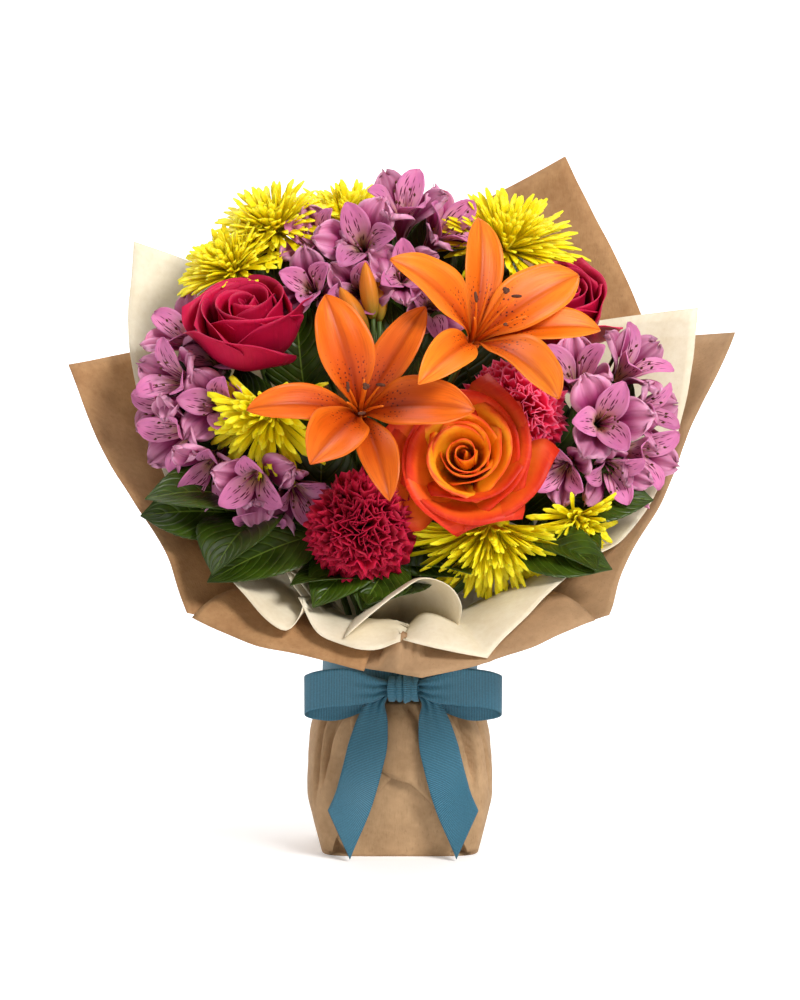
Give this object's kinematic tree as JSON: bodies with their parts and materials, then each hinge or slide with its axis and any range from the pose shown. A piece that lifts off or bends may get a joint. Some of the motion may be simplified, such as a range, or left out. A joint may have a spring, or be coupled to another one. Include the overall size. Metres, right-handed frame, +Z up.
{
  "type": "wrapped flower bouquet",
  "caption": "Mixed bouquet of lilies, roses, carnations, chrysanthemums and alstroemeria in a glass vase, wrapped in kraft and cream paper and tied with a ribbon bow.",
  "frame": {"origin": "centre of the flat underside of the wrapped foot, which it stands on", "axes": "+Z up; -Y is the front, where the bow is tied and the lilies look; +X is the viewer's right"},
  "size_m": [0.435, 0.2986, 0.4491],
  "materials": {
    "kraft_paper": "matte",
    "cream_paper": "matte",
    "ribbon": "satin",
    "clear_glass": "gloss",
    "water": "gloss",
    "green_stem": "satin",
    "green_leaf": "satin",
    "lily_orange": "satin",
    "rose_orange": "matte",
    "rose_pink": "matte",
    "carnation_crimson": "matte",
    "carnation_pink": "matte",
    "chrysanthemum_yellow": "matte",
    "alstroemeria_pink": "matte"
  },
  "bodies": {
    "root": {"alstroemeria_left": "alstroemeria_pink", "alstroemeria_low": "alstroemeria_pink", "alstroemeria_right": "alstroemeria_pink", "alstroemeria_top": "alstroemeria_pink", "carnation_crimson": "carnation_crimson", "carnation_crimson_stem": "green_stem", "carnation_pink": "carnation_pink", "carnation_pink_stem": "green_stem", "cream_paper_left": "cream_paper", "cream_paper_right": "cream_paper", "glass_vase": "clear_glass", "kraft_paper_back": "kraft_paper", "kraft_paper_foot": "kraft_paper", "kraft_paper_left": "kraft_paper", "kraft_paper_right": "kraft_paper", "leaves_back": "green_leaf", "leaves_front": "green_leaf", "leaves_left": "green_leaf", "leaves_right": "green_leaf", "lily_left": "lily_orange", "lily_left_stem": "green_stem", "lily_right": "lily_orange", "lily_right_stem": "green_stem", "mum_left": "chrysanthemum_yellow", "mum_left_stem": "green_stem", "mum_low_right": "chrysanthemum_yellow", "mum_low_right_stem": "green_stem", "mum_middle_left": "chrysanthemum_yellow", "mum_middle_left_stem": "green_stem", "mum_right": "chrysanthemum_yellow", "mum_right_stem": "green_stem", "mum_top": "chrysanthemum_yellow", "mum_top_left": "chrysanthemum_yellow", "mum_top_left_stem": "green_stem", "mum_top_right": "chrysanthemum_yellow", "mum_top_right_stem": "green_stem", "mum_top_stem": "green_stem", "ribbon_band": "ribbon", "ribbon_bow": "ribbon", "ribbon_knot": "ribbon", "rose_orange": "rose_orange", "rose_orange_stem": "green_stem", "rose_pink_left": "rose_pink", "rose_pink_left_stem": "green_stem", "rose_pink_right": "rose_pink", "rose_pink_right_stem": "green_stem", "water": "water"}
  },
  "joints": []
}
